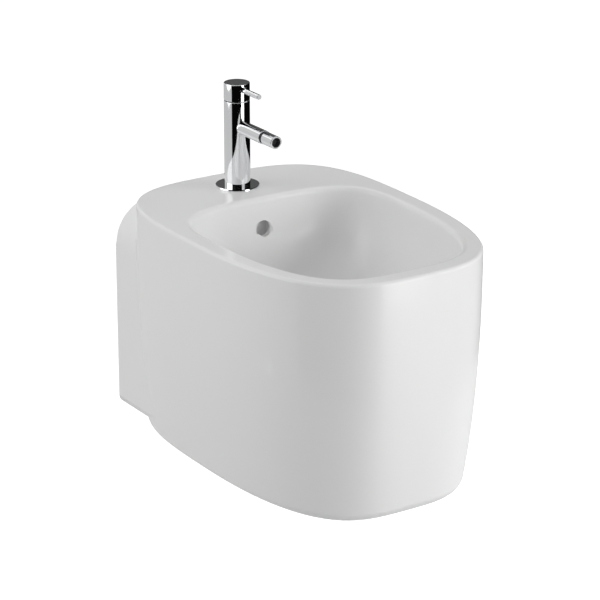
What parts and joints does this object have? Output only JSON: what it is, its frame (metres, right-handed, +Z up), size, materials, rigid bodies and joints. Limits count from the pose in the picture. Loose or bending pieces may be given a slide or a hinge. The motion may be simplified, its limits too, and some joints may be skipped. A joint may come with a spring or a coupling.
{
  "type": "wall-hung bidet with single-lever mixer",
  "caption": "Wall-hung white ceramic bidet with basin, overflow and push-button waste, and a chrome single-lever mixer with a swivelling nozzle on its deck.",
  "frame": {"origin": "midway between the two wall fixing holes, in the plane of the wall", "axes": "+Z up, the front faces -Y, the wall is the plane y = 0, and +X is to the right of someone who stands in front and faces the wall"},
  "size_m": [0.38, 0.54, 0.5155],
  "materials": {
    "white_china": "glossy white glaze",
    "chrome_plate": "polished chrome on brass",
    "brass": "plain machined brass",
    "steel": "plain stainless steel",
    "black_rubber": "matt black rubber",
    "grey_plastic": "matt grey plastic",
    "white_plastic": "matt white plastic",
    "black_plastic": "satin black plastic",
    "disc_ceramic": "lapped ceramic disc"
  },
  "bodies": {
    "root": {"ceramic_body": "white_china", "fixing_sleeves": "white_plastic", "tap_body": "chrome_plate", "tap_flange": "chrome_plate", "tap_deck_seal": "black_rubber", "tap_fixing_stud": "steel", "tap_clamp_gasket": "black_rubber", "tap_clamp_plate": "steel", "tap_fixing_nut": "brass", "cartridge_base": "grey_plastic", "cartridge_port_seals": "black_rubber", "cartridge_shell": "grey_plastic", "cartridge_fixed_disc": "disc_ceramic", "cartridge_nut": "brass", "spout_tube": "chrome_plate", "spout_ring": "black_plastic", "swivel_ball": "chrome_plate", "waste_body": "chrome_plate", "waste_top_seal": "black_rubber", "waste_lower_seal": "black_rubber", "waste_slip_washer": "white_plastic", "waste_nut": "brass", "stopper_latch": "white_plastic", "stopper_spring": "steel"},
    "lever_guide": {"cartridge_turret": "grey_plastic", "lever_pin": "steel"},
    "lever": {"lever_stem": "steel", "lever_hub": "chrome_plate", "lever_rod": "chrome_plate", "lever_grub_screw": "steel", "lever_screw_plug": "grey_plastic"},
    "mixing_disc": {"cartridge_moving_disc": "disc_ceramic"},
    "swivel_ring": {"swivel_seat": "white_plastic"},
    "nozzle": {"nozzle_shell": "chrome_plate", "nozzle_aerator": "white_plastic", "nozzle_end_ring": "black_plastic"},
    "stopper": {"stopper_spindle": "steel", "stopper_cap": "chrome_plate", "stopper_seal": "black_rubber"}
  },
  "joints": [
    {"name": "lever_turn", "type": "hinge", "parent": "root", "child": "lever_guide", "pos_m": [0, -0.07, 0.2115], "axis": [0, 0, 1], "range_deg": [-45, 45]},
    {"name": "lever_tilt", "type": "hinge", "parent": "lever_guide", "child": "lever", "pos_m": [0, -0.068, 0.2115], "axis": [-1, 0, 0], "range_deg": [0, 15]},
    {"name": "disc_slide", "type": "slide", "parent": "lever_guide", "child": "mixing_disc", "axis": [0, -1, 0], "range_m": [0, 0.0036]},
    {"name": "nozzle_pan", "type": "hinge", "parent": "root", "child": "swivel_ring", "pos_m": [0, -0.1545, 0.1725], "axis": [0, 0, 1], "range_deg": [-12, 12]},
    {"name": "nozzle_tilt", "type": "hinge", "parent": "swivel_ring", "child": "nozzle", "pos_m": [0, -0.1545, 0.1725], "axis": [1, 0, 0], "range_deg": [-12, 12]},
    {"name": "stopper_slide", "type": "slide", "parent": "root", "child": "stopper", "axis": [0, 0, 1], "range_m": [0, 0.008], "deforming": ["stopper_spring"]}
  ],
  "couplings": [
    {"joint": "disc_slide", "follows": "lever_tilt", "m_per_rad": 0.0134}
  ]
}
